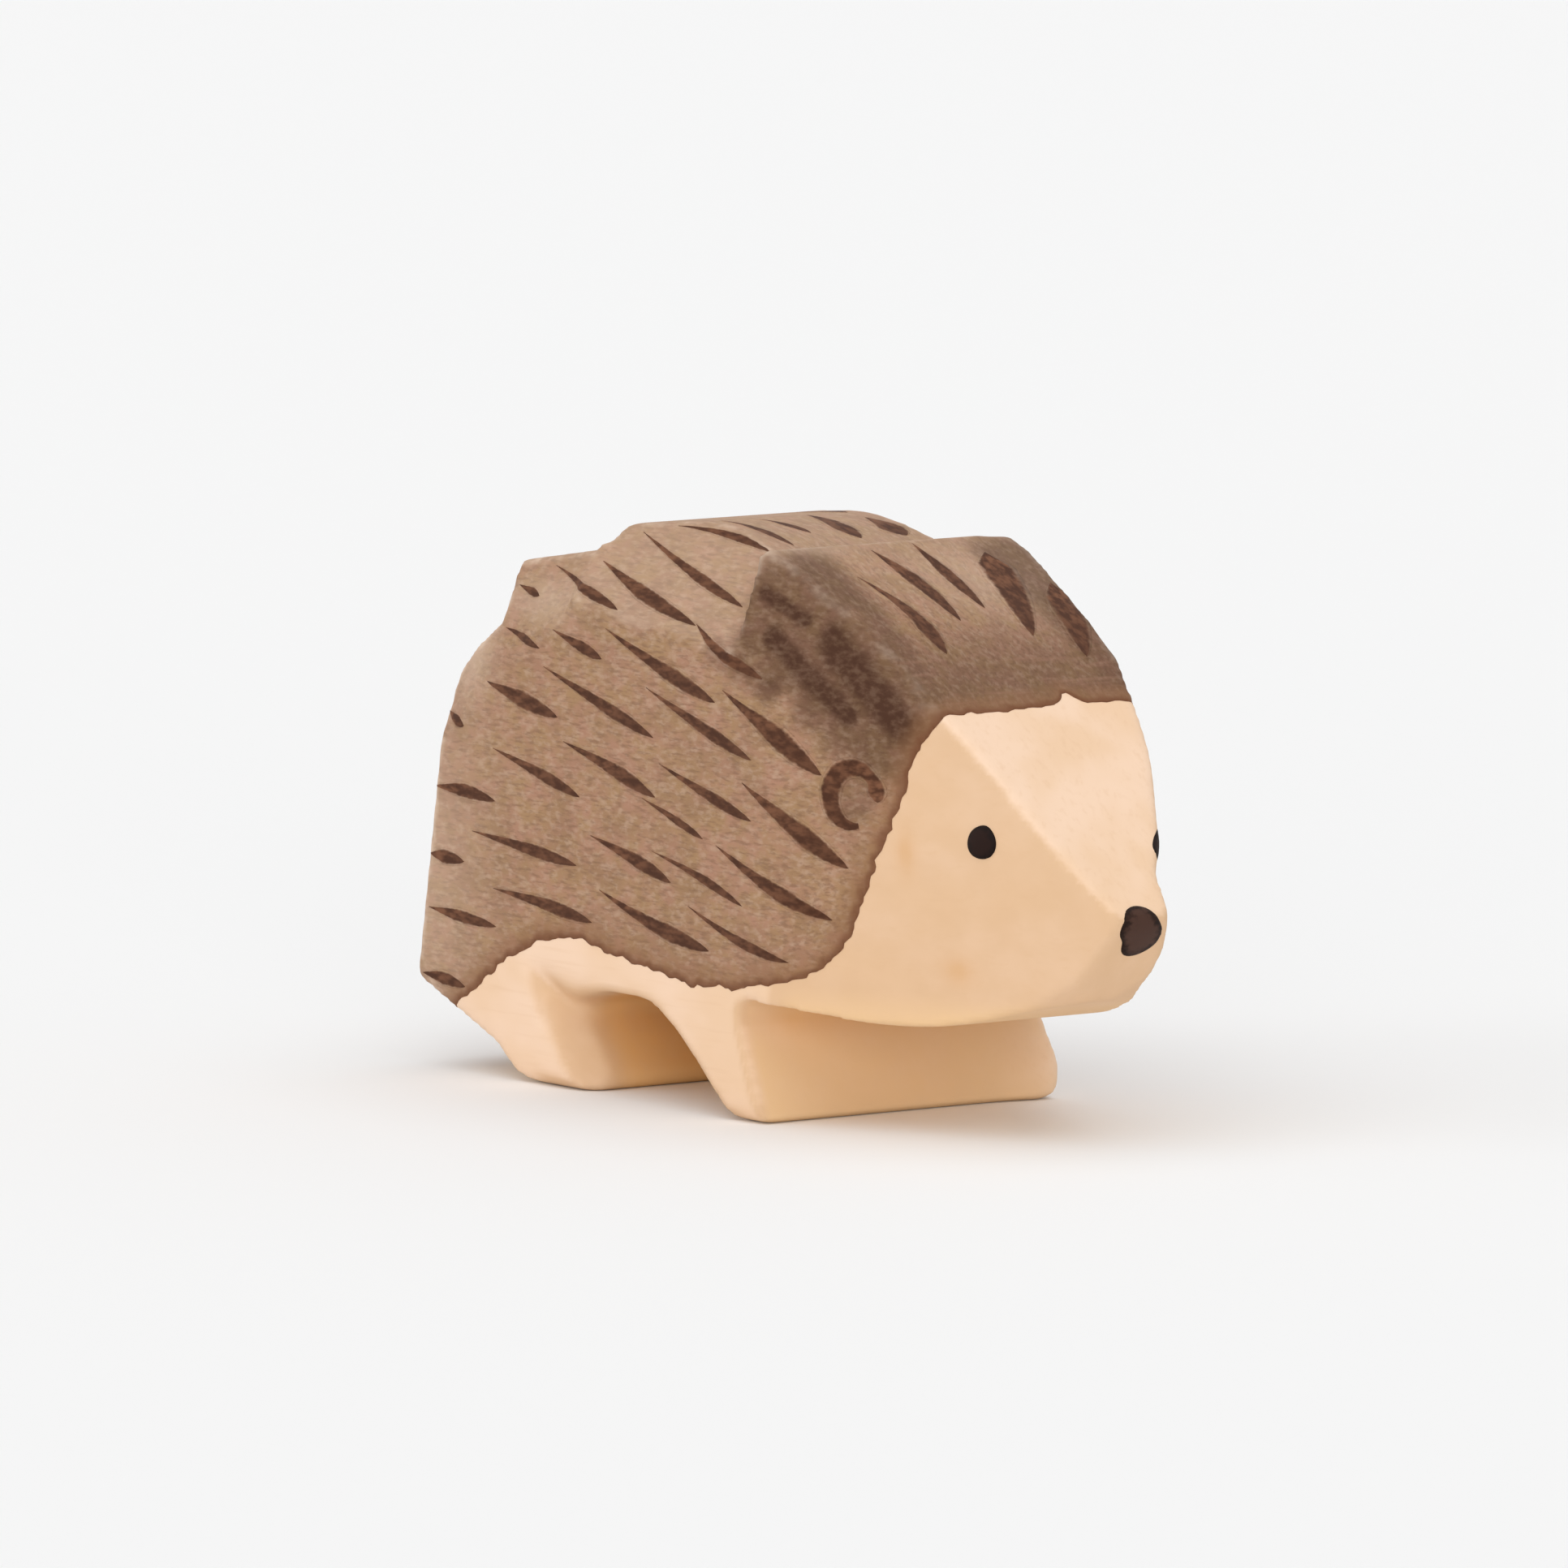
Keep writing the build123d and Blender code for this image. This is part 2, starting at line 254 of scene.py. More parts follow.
def line_gap(flat: Array, start: Any, end: Any) -> tuple[Array, Array]:
    """Measures flat places from a straight line, or from a dot where its ends meet.

    Args:
        flat: rows of two numbers.
        start: first end of the line.
        end: last end of the line.

    Returns:
        Distance from the line, and 1 on its left or -1 on its right.
    """
    along = np.array(end) - np.array(start)
    offset = flat - np.array(start)
    share = np.clip(offset @ along / max(along @ along, TINY), 0, 1)
    gap = offset - share[:, None] * along
    turn = along[0] * offset[:, 1] - along[1] * offset[:, 0]
    return np.hypot(gap[:, 0], gap[:, 1]), np.sign(turn)


def dress(piece: Object, slot: Slot, material: Material, *nodes: str) -> Object:
    """Gives a piece its material and body, shades it smooth and hides the CAD nodes it stands for.

    Args:
        piece: finished object.
        slot: slot of the record; not used.
        material: finish of the piece.
        nodes: CAD nodes that it replaces.

    Returns:
        The piece.
    """
    piece.data.materials.append(material)
    select_only(piece)
    bpy.ops.object.shade_smooth()
    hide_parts(*nodes)
    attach(piece, "root")
    return piece


@dataclass(frozen=True)
class Spot:
    """A soft round place on the object, strongest in its middle: centre and size in millimetres."""

    centre: Triple
    size: Triple
    strength: float = 1.0

    def at(self, places: Array) -> Array:
        """Strength at each row of millimetres."""
        away = (places - np.array(self.centre)) / np.array(self.size)
        return self.strength * np.exp(-np.sum(away**2, axis=1))


@dataclass(frozen=True)
class Swell(Spot):
    """A place where the knife left the wood fuller or leaner, and how far it moves the surface."""

    move: Triple = (0.0, 0.0, 0.0)


@dataclass(frozen=True)
class Wobble:
    """The unevenness of a hand: its size, the length of one lump in millimetres and a seed."""

    size: float
    period: float
    seed: int

    def at(self, places: Array) -> Array:
        """Unevenness at each row of millimetres, between about minus and plus its size."""
        shift = Vector([self.seed * part for part in SEED_SHIFT])
        return self.size * np.array([noise.noise(Vector(place) / self.period + shift) for place in places])


@dataclass(frozen=True)
class Smear:
    """Dark paint rubbed into the stain along a line or on a dot in the side view, with a soft edge."""

    start: Pair
    end: Pair
    half: float
    darkness: float = 0.36
    edge: Pair = (0.5, 1.6)

    def shade(self, flat: Array, uneven: Array | float = 0.0) -> Array:
        """Darkness at each flat place, whose edge an unevenness moves."""
        gap, _ = line_gap(flat, self.start, self.end)
        return self.darkness * (1 - smooth_step(*self.edge, gap / self.half + uneven))


@dataclass(frozen=True)
class Ease:
    """A soft ramp: shares from start to end while a number runs from low to high."""

    low: float
    high: float
    start: float = 0.0
    end: float = 1.0


class Pattern:
    """A number that varies over a surface and sets how much of a colour shows."""

    ease: Ease | None

    def number(self, tree: NodeTree) -> NodeSocket:
        """The number before it is eased."""
        raise NotImplementedError

    def share(self, tree: NodeTree) -> NodeSocket:
        """Adds the pattern's nodes.

        Args:
            tree: where the nodes go.

        Returns:
            Socket of the colour's share.
        """
        number, ease = self.number(tree), self.ease
        if ease is None:
            return number
        inputs = {"Value": number, "From Min": ease.low, "From Max": ease.high}
        inputs |= {"To Min": ease.start, "To Max": ease.end}
        eased = add_node(tree, "MapRange", inputs, interpolation_type="SMOOTHSTEP")
        return eased.outputs["Result"]


@dataclass(frozen=True)
class Lumps(Pattern):
    """Noise in lumps of a real size along X, Y and Z in millimetres."""

    size: Triple
    ease: Ease
    detail: float = 2.0
    roughness: float = 0.55

    def number(self, tree: NodeTree) -> NodeSocket:
        """Adds the noise, in the object's own coordinates.

        Args:
            tree: where the nodes go.

        Returns:
            Socket of the noise.
        """
        coords = add_node(tree, "TexCoord")
        scale = [1 / (length * METRES_PER_MM) for length in self.size]
        mapping = add_node(tree, "Mapping", {"Vector": coords.outputs["Object"], "Scale": scale})
        inputs = {"Vector": mapping.outputs["Vector"], "Scale": 1.0}
        inputs |= {"Detail": self.detail, "Roughness": self.roughness}
        return add_node(tree, "TexNoise", inputs).outputs["Fac"]


@dataclass(frozen=True)
class Kept(Pattern):
    """A number that a piece keeps per vertex, made uneven by lumps where it has them."""

    name: str
    ease: Ease | None = None
    uneven: Lumps | None = None

    def number(self, tree: NodeTree) -> NodeSocket:
        """Adds the number and its unevenness.

        Args:
            tree: where the nodes go.

        Returns:
            Socket of the number.
        """
        kept = add_node(tree, "Attribute", attribute_name=self.name).outputs["Fac"]
        if self.uneven is None:
            return kept
        inputs = {0: kept, 1: self.uneven.share(tree)}
        return add_node(tree, "Math", inputs, operation="ADD").outputs[0]


@dataclass(frozen=True)
class Layer:
    """One colour over those below it: its share is a product of patterns, plus any that are added."""

    colour: Any
    patterns: tuple[Pattern, ...]
    added: tuple[Pattern, ...] = ()

    def over(self, tree: NodeTree, under: Any) -> NodeSocket:
        """Adds the nodes that lay the colour.

        Args:
            tree: where the nodes go.
            under: colour below, a socket or a value.

        Returns:
            Socket of the colour.
        """
        first, *others = self.patterns
        share = first.share(tree)
        steps = [("MULTIPLY", pattern) for pattern in others] + [("ADD", pattern) for pattern in self.added]
        for operation, pattern in steps:
            inputs = {0: share, 1: pattern.share(tree)}
            share = add_node(tree, "Math", inputs, operation=operation).outputs[0]
        inputs = {MIX_SHARE: share, MIX_UNDER: under, MIX_OVER: self.colour}
        return add_node(tree, "Mix", inputs, data_type="RGBA").outputs[MIX_RESULT]


@dataclass(frozen=True)
class Finish:
    """What a surface shows: a ground colour with others over it, a roughness and a sheen."""

    name: str
    roughness: float
    specular: float
    ground: str

    def layers(self) -> tuple[Layer, ...]:
        """Colours over the ground, lowest first."""
        return ()

    def colour(self, tree: NodeTree) -> Any:
        """Lays the colours over the ground.

        Args:
            tree: where the nodes go.

        Returns:
            The colour on top, a socket or a value.
        """
        colour = linear(self.ground)
        for layer in self.layers():
            colour = layer.over(tree, colour)
        return colour

    def material(self) -> Material:
        """Builds the finish as a material.

        Returns:
            The material.
        """
        material = bpy.data.materials.new(self.name)
        material.use_nodes = True
        tree = material.node_tree
        tree.nodes.clear()
        inputs = {"Base Color": self.colour(tree), "Roughness": self.roughness}
        inputs["Specular IOR Level"] = self.specular
        shader = add_node(tree, "BsdfPrincipled", inputs)
        add_node(tree, "OutputMaterial", {"Surface": shader.outputs["BSDF"]})
        return material


@dataclass(frozen=True)
class SandedLime(Finish):
    """Lime wood, cut out with a saw, carved and sanded: pale, warm and matt, with painted shade on the
    cheeks, the saw cuts and the arch.

    The wood's own fibres are too fine to show, so they are drawn half a millimetre wide.
    """

    name: str = "sanded_lime_wood"
    roughness: float = 0.65
    specular: float = 0.2
    ground: str = "#f4d4b8"
    warm: str = "#eecba9"
    fibre: str = "#e3bb94"
    tan: str = "#dab38b"
    sawn: str = "#ecc698"
    deep: str = "#edbb7c"
    freckle: str = "#d6a36c"
    blotches: Lumps = Lumps((9.0, 5.0, 5.0), Ease(0.35, 0.65))
    fibres: Lumps = Lumps((7.0, 0.5, 0.5), Ease(0.5, 0.8, 0.0, 0.3))
    uneven: Lumps = Lumps((3.0, 2.0, 2.0), Ease(0.2, 0.8, 0.8, 1.0))

    def layers(self) -> tuple[Layer, ...]:
        """Soft blotches and long fibres that only just show, painted shade on the cheeks, saw cuts and arch,
        and freckles.
        """
        return (
            Layer(linear(self.warm), (self.blotches,)),
            Layer(linear(self.fibre), (self.fibres,)),
            # Painted shade, darker and warmer, on the near side's faces towards the front and inside the arch
            Layer(linear(self.tan), (Kept("turned"), self.uneven)),
            # Saw cuts of the legs: warmer wood, and painted shade where the head shades the leg fronts
            Layer(linear(self.sawn), (Kept("sawn"), self.uneven)),
            # Painted shade inside the arch, warm like light bounced off the wood
            Layer(linear(self.deep), (Kept("deep"), self.uneven)),
            Layer(linear(self.freckle), (Kept("freckle"),)),
        )


@dataclass(frozen=True)
class BrownStain(Finish):
    """Thinned brown paint wiped on wood: soft clouds, pale worn edges, painted sheen on the upper facets and
    a darker drying line.
    """

    name: str = "brown_wood_stain"
    roughness: float = 0.7
    specular: float = 0.15
    ground: str = "#a5825f"
    rose: str = "#ab8169"
    thick: str = "#8b6a50"
    thin: str = "#bd9f87"
    fibre: str = "#7f5f49"
    worn: str = "#d3b8a1"
    shade: str = "#482c1d"
    streak: str = "#9a735f"
    low: str = "#8c6445"
    rim: str = "#70452d"
    hues: Lumps = Lumps((2.2, 1.6, 1.6), Ease(0.34, 0.66), 4.0)
    clouds: Lumps = Lumps((3.2, 1.9, 1.9), Ease(0.35, 0.75, 0.0, 0.45))
    mottle: Lumps = Lumps((0.8, 0.4, 0.4), Ease(0.42, 0.75, 0.0, 0.55))
    fibres: Lumps = Lumps((1.2, 0.25, 0.25), Ease(0.45, 0.7, 0.0, 0.55))
    scuffs: Lumps = Lumps((2.4, 1.6, 1.6), Ease(0.4, 0.65, 0.0, 0.8))
    speckle: Lumps = Lumps((0.8, 0.4, 0.4), Ease(0.35, 0.7, 1.0, 0.84))
    streaks: Lumps = Lumps((0.5, 6.0, 0.5), Ease(0.5, 0.72, 0.0, 0.4))
    low_band: Kept = Kept("reach", Ease(0.3, 2.2, 0.6, 0.0))
    drying_line: Kept = Kept("reach", Ease(0.1, 0.7, 0.75, 0.0))

    def layers(self) -> tuple[Layer, ...]:
        """Two hues in clouds, scuffed where hands wore it, with painted sheen on facets that face up, then
        the shaded patch and the border.
        """
        return (
            Layer(linear(self.rose), (self.hues,)),
            Layer(linear(self.thick), (self.clouds,)),
            Layer(linear(self.thin), (self.mottle,)),
            Layer(linear(self.fibre), (self.fibres,)),
            # The pale colour is wear on sharp edges, and painted sheen and highlight where the stain is
            # rubbed pale
            Layer(linear(self.worn), (Kept("worn"), self.scuffs), (Kept("faded"),)),
            Layer(linear(self.shade), (Kept("shade"), self.speckle)),
            Layer(linear(self.streak), (Kept("brow"), self.streaks)),
            Layer(linear(self.low), (self.low_band,)),
            Layer(linear(self.rim), (self.drying_line,)),
        )


@dataclass(frozen=True)
class BrushedUmber(Finish):
    """Dark brown acrylic laid with a small brush: mottled, ragged at the edge, thick where it ends."""

    name: str = "brushed_umber_paint"
    roughness: float = 0.65
    specular: float = 0.12
    ground: str = "#4a2c1d"
    light: str = "#7b523b"
    mottle: Lumps = Lumps((1.3, 0.5, 0.5), Ease(0.35, 0.7))
    thinness: Kept = Kept("load", Ease(0.0, 1.0, 1.0, 0.45))
    cover: Kept = Kept("cover", Ease(0.15, 0.6), Lumps((0.6, 0.35, 0.35), Ease(0.25, 0.75, -0.1, 0.1)))
    stain: BrownStain = BrownStain()

    def layers(self) -> tuple[Layer, ...]:
        """Lighter mottle where the paint is thin."""
        return (Layer(linear(self.light), (self.mottle, self.thinness)),)

    def colour(self, tree: NodeTree) -> Any:
        """The paint, out to its ragged edge on the stain."""
        paint = super().colour(tree)
        return Layer(paint, (self.cover,)).over(tree, self.stain.colour(tree))


@dataclass(frozen=True)
class DarkPaint(Finish):
    """Near-black brown acrylic in thick dabs: matt, with a darker edge where the paint drew back."""

    name: str = "black_brown_acrylic"
    roughness: float = 0.6
    specular: float = 0.12
    ground: str = "#24140f"
    edge: str = "#170c09"
    drawn_back: Kept = Kept("edge", Ease(0.3, 0.9), Lumps((0.6, 0.6, 0.5), Ease(0.3, 0.7, -0.2, 0.2)))

    def layers(self) -> tuple[Layer, ...]:
        """The edge around a soft, uneven middle."""
        return (Layer(linear(self.edge), (self.drawn_back,)),)


@dataclass(frozen=True)
class WhiteCard(Finish):
    """Matt white card: an even, pale ground that takes a soft shadow."""

    name: str = "matt_white_card"
    roughness: float = 0.9
    specular: float = 0.5
    ground: str = "#f8f8f8"


@dataclass
class CarvedFigure:
    """The wooden body: the CAD body and coat as one block with sanded edges."""

    voxel: float = 0.36
    pass_strength: float = 0.5
    sanding: int = 5
    corner_sanding: int = 40
    corner_fade: Pair = (0.5, 1.0)
    soft_corners: tuple[tuple[Triple, float], ...] = (
        ((3.8, 10.0, 37.6), 2.6),
        ((-16.5, -11.8, 7.0), 4.2),
        ((-16.5, 11.8, 7.0), 4.2),
        ((9.2, 12.3, 0.6), 3.0),
    )
    swells: tuple[Swell, ...] = (
        Swell((23.0, 7.0, 22.0), (5.0, 4.0, 8.0), move=(0.0, 1.0, 0.0)),
        Swell((30.5, 3.3, 18.2), (1.8, 2.5, 1.8), move=(0.0, -0.5, 0.0)),
        Swell((31.0, 3.2, 13.2), (2.5, 3.0, 2.8), move=(0.0, 0.6, 0.0)),
        Swell((7.6, 12.0, 2.2), (3.0, 3.0, 3.4), move=(1.3, 0.0, 0.0)),
        Swell((-27.5, -9.0, 29.0), (3.0, 6.0, 3.0), move=(-0.4, 0.0, 0.3)),
        Swell((-6.0, 0.0, 8.0), (8.0, 60.0, 2.2), move=(0.0, 0.0, -0.75)),
        Swell((-15.0, 0.0, 8.0), (2.6, 60.0, 2.2), move=(0.0, 0.0, -1.1)),
    )
    wear_passes: int = 14
    wear_taken: Pair = (0.02, 0.1)

    # Where one tone of the wood, or its painted shade, gives way to another, in millimetres
    leg_top: Pair = (8.0, 10.0)
    arch_rear: Pair = (-20.0, -18.0)
    arch_front: Pair = (3.5, 5.5)
    pale_side: Pair = (11.3, 12.3)
    deep_end: Pair = (7.5, 11.0)
    far_side: Pair = (10.5, 12.0)

    # Parts of a normal between which a face counts as facing that way, then the shares of painted shade on
    # the front faces and in the arch
    cut_lean: Pair = (0.15, 0.6)
    front_lean: Pair = (0.1, 0.38)
    top_lean: Pair = (0.15, 0.45)
    turned_share: float = 0.8
    arch_share: float = 0.9
    # Painted highlight: the far toe's edge is kept pale, free of the painted shade
    pale_toe: Spot = Spot((8.0, 12.2, 2.8), (4.0, 3.2, 3.6))
    freckles: tuple[Spot, ...] = (
        Spot((18.4, -8.8, 19.2), (0.7, 1.5, 1.4), 0.5),
        Spot((21.3, -6.6, 11.4), (1.1, 1.5, 0.9), 0.5),
    )

    def build(self, wood: Finish) -> Object:
        """Remeshes the CAD shape, rounds its edges as sanding does, and dresses it.

        Args:
            wood: finish of the body.

        Returns:
            The body.
        """
        copies = [duplicate(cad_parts[node].data, node) for node in ("carved_body", "quill_coat")]
        body = join(copies, "wooden_body")
        edit_all(body, bpy.ops.mesh.remove_doubles, threshold=MERGE_GAP * METRES_PER_MM)
        apply_modifier(body, "REMESH", mode="VOXEL", voxel_size=self.voxel * METRES_PER_MM)
        self.drop_inner_shells(body)
        self.carve_by_hand(body)
        self.sand(body, self.sanding)
        for centre, radius in self.soft_corners:
            self.round_corner(body, centre, radius)
        softer = duplicate(body.data, "softer")
        self.sand(softer, self.wear_passes)
        self.keep_wear(body, softer)
        self.keep_wood_tones(body, normals_of(softer))
        bpy.data.objects.remove(softer)
        return dress(body, Slot.BARE_WOOD, wood.material(), "carved_body")

    def sand(self, piece: Object, passes: int, **settings: Any) -> None:
        """Takes a piece's edges down by a number of passes."""
        apply_modifier(piece, "SMOOTH", factor=self.pass_strength, iterations=passes, **settings)

    def drop_inner_shells(self, body: Object) -> None:
        """Keeps the outer skin alone where the two CAD solids met.

        Args:
            body: the wooden body.
        """
        mesh = bmesh.new()
        mesh.from_mesh(body.data)
        top = max(mesh.verts, key=lambda v: v.co.z)
        skin, edge = {top}, [top]
        while edge:
            for link in edge.pop().link_edges:
                for vert in link.verts:
                    if vert not in skin:
                        skin.add(vert)
                        edge.append(vert)
        bmesh.ops.delete(mesh, geom=[v for v in mesh.verts if v not in skin], context="VERTS")
        mesh.to_mesh(body.data)
        mesh.free()

    def carve_by_hand(self, body: Object) -> None:
        """Moves the surface where the knife left it fuller or leaner than the drawing.

        Args:
            body: the wooden body.
        """
        places = points_of(body)
        for swell in self.swells:
            places += swell.at(places)[:, None] * np.array(swell.move)
        move_points(body, places)

    def round_corner(self, body: Object, centre: Triple, radius: float) -> None:
        """Sands the wood around one place more than the rest.

        Args:
            body: the wooden body.
            centre: place in millimetres.
            radius: how far the sanding goes.
        """
        gap = np.linalg.norm(points_of(body) - np.array(centre), axis=1)
        weight = 1 - smooth_step(*self.corner_fade, gap / radius)
        group = body.vertex_groups.new(name="soft_corner")
        for index in np.nonzero(weight)[0]:
            group.add([int(index)], float(weight[index]), "ADD")
        self.sand(body, self.corner_sanding, vertex_group=group.name)
        body.vertex_groups.clear()

    def keep_wear(self, body: Object, softer: Object) -> None:
        """Keeps where the edges are sharp: more sanding, as on the softer copy, takes the most there."""
        taken = np.sum((points_of(body) - points_of(softer)) * normals_of(body), axis=1)
        keep_numbers(body, worn=smooth_step(*self.wear_taken, taken))

    def keep_wood_tones(self, body: Object, normals: Array) -> None:
        """Keeps where shade is painted: on the near side's faces towards the front, such as the cheeks, on
        the saw cuts of the legs, which are also warmer wood, and inside the arch; and where two freckles are.

        Args:
            body: the wooden body.
            normals: the way the sanded surface faces, one row per vertex.
        """
        places = points_of(body)
        along, across, height = places.T
        aside = np.abs(across)
        toe = self.pale_toe.at(places)
        legs = 1 - smooth_step(*self.leg_top, height)
        cut = legs * smooth_step(*self.cut_lean, np.hypot(normals[:, 0], normals[:, 2]))
        inside = smooth_step(*self.arch_rear, along) * (1 - smooth_step(*self.arch_front, along))
        edge = np.maximum(smooth_step(*self.pale_side, aside), toe)
        upright = 1 - smooth_step(*self.top_lean, normals[:, 2])
        near = 1 - smooth_step(*self.far_side, across)
        # Painted shade where the cheeks and leg fronts face away from the light, on the near side only
        turned = self.turned_share * smooth_step(*self.front_lean, normals[:, 0]) * upright * near * (1 - toe)
        turned = np.maximum(turned, self.arch_share * cut * inside)
        # Saw cuts: warmer wood with painted shade, kept pale at the outer edges and the toe highlight
        sawn = cut * (1 - inside) * (1 - edge)
        # Painted shade inside the arch, fading out towards the board's two faces
        deep = cut * inside * (1 - smooth_step(*self.deep_end, aside))
        freckle = np.maximum(*[spot.at(places) for spot in self.freckles])
        keep_numbers(body, turned=turned, sawn=sawn, deep=deep, freckle=freckle)


@dataclass(frozen=True)
class StainBorder:
    """The edge of the stain, seen from the side, with the brush's wobble."""

    corners: tuple[Pair, ...] = (
        (-36.0, 0.5), (-27.7, 4.9), (-22.9, 8.1), (-16.0, 10.4), (-7.6, 9.6), (-0.5, 8.7), (7.4, 9.5),
        (12.6, 11.6), (16.4, 18.6), (18.9, 25.0), (20.8, 28.3), (26.0, 35.0),
    )
    steps: int = 12
    wobbles: tuple[Wobble, ...] = (Wobble(0.22, 3.2, 0), Wobble(0.3, 0.9, 1), Wobble(0.12, 0.5, 2))
    wobble_reach: float = 2.0
    nick: Spot = Spot((19.8, 3.0, 29.3), (3.0, 0.8, 3.0), 1.1)

    def line(self) -> Array:
        """The border as a Catmull-Rom curve through its corners.

        Returns:
            Rows of X and Z in millimetres.
        """
        corners = np.array([self.corners[0], *self.corners, self.corners[-1]])
        rows = []
        for a, b, c, d in zip(corners, corners[1:], corners[2:], corners[3:]):
            for t in np.arange(self.steps) / self.steps:
                bend = (2 * a - 5 * b + 4 * c - d) * t**2 + (3 * b - a - 3 * c + d) * t**3
                rows.append(b + 0.5 * ((c - a) * t + bend))
        return np.array([*rows, corners[-1]])

    def reach(self, places: Array) -> Array:
        """How far inside the stain each place is.

        Args:
            places: rows of millimetres.

        Returns:
            Millimetres, negative on bare wood.
        """
        flat = places[:, SIDE_VIEW]
        line = self.line()
        best = np.full(len(flat), np.inf)
        side = np.zeros(len(flat))
        for start, end in zip(line, line[1:]):
            gap, turn = line_gap(flat, start, end)
            nearer = gap < best
            best = np.where(nearer, gap, best)
            side = np.where(nearer, turn, side)
        reach = best * side - self.nick.at(places)
        close = np.abs(reach) < self.wobble_reach
        for wobble in self.wobbles:
            reach[close] += wobble.at(places[close])
        return reach


@dataclass
class QuillCoat:
    """The stained back: a thin skin on the body, ending at a brushed border."""

    border: StainBorder = StainBorder()
    skin: float = 0.14
    proud: float = 0.03
    patch: Smear = Smear((6.5, 34.4), (17.2, 27.9), 4.6, 0.66, (0.6, 1.2))
    patch_wobble: Wobble = Wobble(0.25, 2.4, 5)
    smudges: tuple[Smear, ...] = (
        Smear((4.7, 35.5), (8.7, 33.9), 0.45),
        Smear((6.2, 32.7), (14.0, 28.0), 0.7),
        Smear((11.2, 32.6), (18.6, 27.4), 1.1),
        Smear((1.5, 31.4), (7.0, 29.2), 0.8),
    )
    smudge_wobble: Wobble = Wobble(0.3, 1.5, 6)
    shaded_side: Pair = (4.5, 7.0)
    ear_wash: Smear = Smear((14.8, 22.7), (14.8, 22.7), 2.0, 0.4, (0.6, 1.1))
    brow_front: Pair = (11.0, 19.0)
    brow_top: Pair = (22.0, 27.0)
    brow_half: Pair = (7.0, 9.0)
    brow_shade: float = 0.55
    # Spots where the stain is rubbed pale, partly painted highlight
    bald: tuple[Spot, ...] = (
        Spot((-33.0, 0.0, 14.0), (7.0, 60.0, 12.0), 0.35),
        Spot((-28.0, 0.0, 29.0), (3.0, 60.0, 3.0), 0.6),
        Spot((3.6, -7.0, 37.6), (1.6, 3.0, 1.6), 0.5),
        Spot((10.0, 5.0, 36.0), (6.0, 6.0, 3.0), 0.3),
        Spot((-20.0, 0.0, 33.0), (5.0, 60.0, 1.6), 0.4),
    )
    # Painted sheen on the facets of the back that face up
    facet_lean: Pair = (0.3, 0.65)
    facet_front: Pair = (-4.0, 14.0)
    facet_fade: float = 0.25
    most_faded: float = 0.8

    def build(self, body: Object, stain: Finish) -> Object:
        """Cuts the stained part of the body's surface, gives it a thickness and dresses it.

        Args:
            body: the wooden body.
            stain: finish of the coat.

        Returns:
            The coat.
        """
        coat = duplicate(body.data, "stained_coat")
        self.cut(coat)
        self.keep_tones(coat)
        # The offset runs from -1, all of the skin inside the wood, to 1, all of it outside
        outer = 2 * self.proud / self.skin - 1
        apply_modifier(coat, "SOLIDIFY", thickness=self.skin * METRES_PER_MM, offset=outer)
        return dress(coat, Slot.STAINED_WOOD, stain.material(), "quill_coat")

    def cut(self, coat: Object) -> None:
        """Splits the surface along the border and drops the bare side.

        Args:
            coat: copy of the body's surface.
        """
        reach = self.border.reach(points_of(coat))
        mesh = bmesh.new()
        mesh.from_mesh(coat.data)
        layer = mesh.verts.layers.float.new("reach_here")
        for vert, value in zip(mesh.verts, reach):
            vert[layer] = value
        crossing = [e for e in mesh.edges if e.verts[0][layer] * e.verts[1][layer] < 0]
        # A dict keeps the order, so that each run splits the same way
        faces = dict.fromkeys(face for edge in crossing for face in edge.link_faces)
        rim = set()
        for edge in crossing:
            first, second = edge.verts
            share = first[layer] / (first[layer] - second[layer])
            _, vert = bmesh.utils.edge_split(edge, first, share)
            vert[layer] = 0
            rim.add(vert)
        for face in faces:
            ends = [v for v in face.verts if v in rim]
            if len(ends) == 2:
                bmesh.utils.face_split(face, *ends)
        bare = [f for f in mesh.faces if sum(v[layer] for v in f.verts) < 0]
        bmesh.ops.delete(mesh, geom=bare, context="FACES")
        mesh.to_mesh(coat.data)
        mesh.free()

    def keep_tones(self, piece: Object) -> None:
        """Keeps the stain's tones on a piece that wears the stain or lies on it.

        Args:
            piece: the coat or a set of marks.
        """
        places = points_of(piece)
        brow = smooth_step(*self.brow_front, places[:, 0]) * smooth_step(*self.brow_top, places[:, 2])
        flat = 1 - smooth_step(*self.brow_half, np.abs(places[:, 1]))
        shade = np.maximum(self.shade(places), self.brow_shade * brow)
        faded = self.faded(places, normals_of(piece))
        keep_numbers(piece, reach=self.border.reach(places), brow=brow * flat, shade=shade, faded=faded)

    def faded(self, places: Array, normals: Array) -> Array:
        """How pale the stain is: painted sheen on the facets of the back that face up, and stain that hands
        have rubbed off, partly painted highlight, on its crest and the rump.

        Args:
            places: rows of millimetres.
            normals: the way the surface faces, one row each.

        Returns:
            Share from 0 up to the palest it gets.
        """
        back = 1 - smooth_step(*self.facet_front, places[:, 0])
        # Painted sheen where the facets face up, plus the rubbed spots
        facets = self.facet_fade * smooth_step(*self.facet_lean, normals[:, 2]) * back
        return np.clip(facets + sum(spot.at(places) for spot in self.bald), 0, self.most_faded)

    def shade(self, places: Array) -> Array:
        """How dark the patch beside the brow is, with the smudged marks in it.

        Args:
            places: rows of millimetres.

        Returns:
            Shade from 0 to 1.
        """
        flat = places[:, SIDE_VIEW]
        shade = self.patch.shade(flat, self.patch_wobble.at(places))
        uneven = self.smudge_wobble.at(places)
        for smudge in self.smudges:
            shade += smudge.shade(flat, uneven)
        on_side = smooth_step(*self.shaded_side, np.abs(places[:, 1]))
        return on_side * np.clip(np.maximum(shade, self.ear_wash.shade(flat)), 0, 1)


